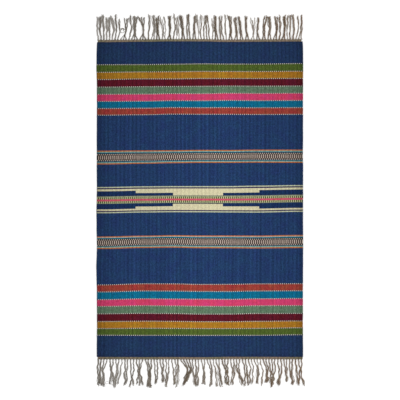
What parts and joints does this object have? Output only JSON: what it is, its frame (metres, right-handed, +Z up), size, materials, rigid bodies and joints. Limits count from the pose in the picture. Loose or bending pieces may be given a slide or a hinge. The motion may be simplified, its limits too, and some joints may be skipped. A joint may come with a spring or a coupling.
{
  "type": "kilim",
  "caption": "Flat-woven rug with cross stripes, two patterned bands, a stepped centre band and a warp fringe at each end, lying flat.",
  "frame": {"origin": "middle of the rug's outline, fringes included, at its underside", "axes": "+Y along the warps towards one fringe, +X across the rug, +Z up out of the face"},
  "size_m": [0.9076, 1.6264, 0.004],
  "materials": {
    "woven_wool": "matte weft-faced flat weave, striped in navy, green, mustard, burgundy, sage, pink, teal and rust",
    "fringe_yarn": "undyed grey-beige twisted warp yarn"
  },
  "bodies": {
    "root": {"kilim_cloth": "woven_wool", "fringe_top": "fringe_yarn", "fringe_bottom": "fringe_yarn"}
  },
  "joints": []
}
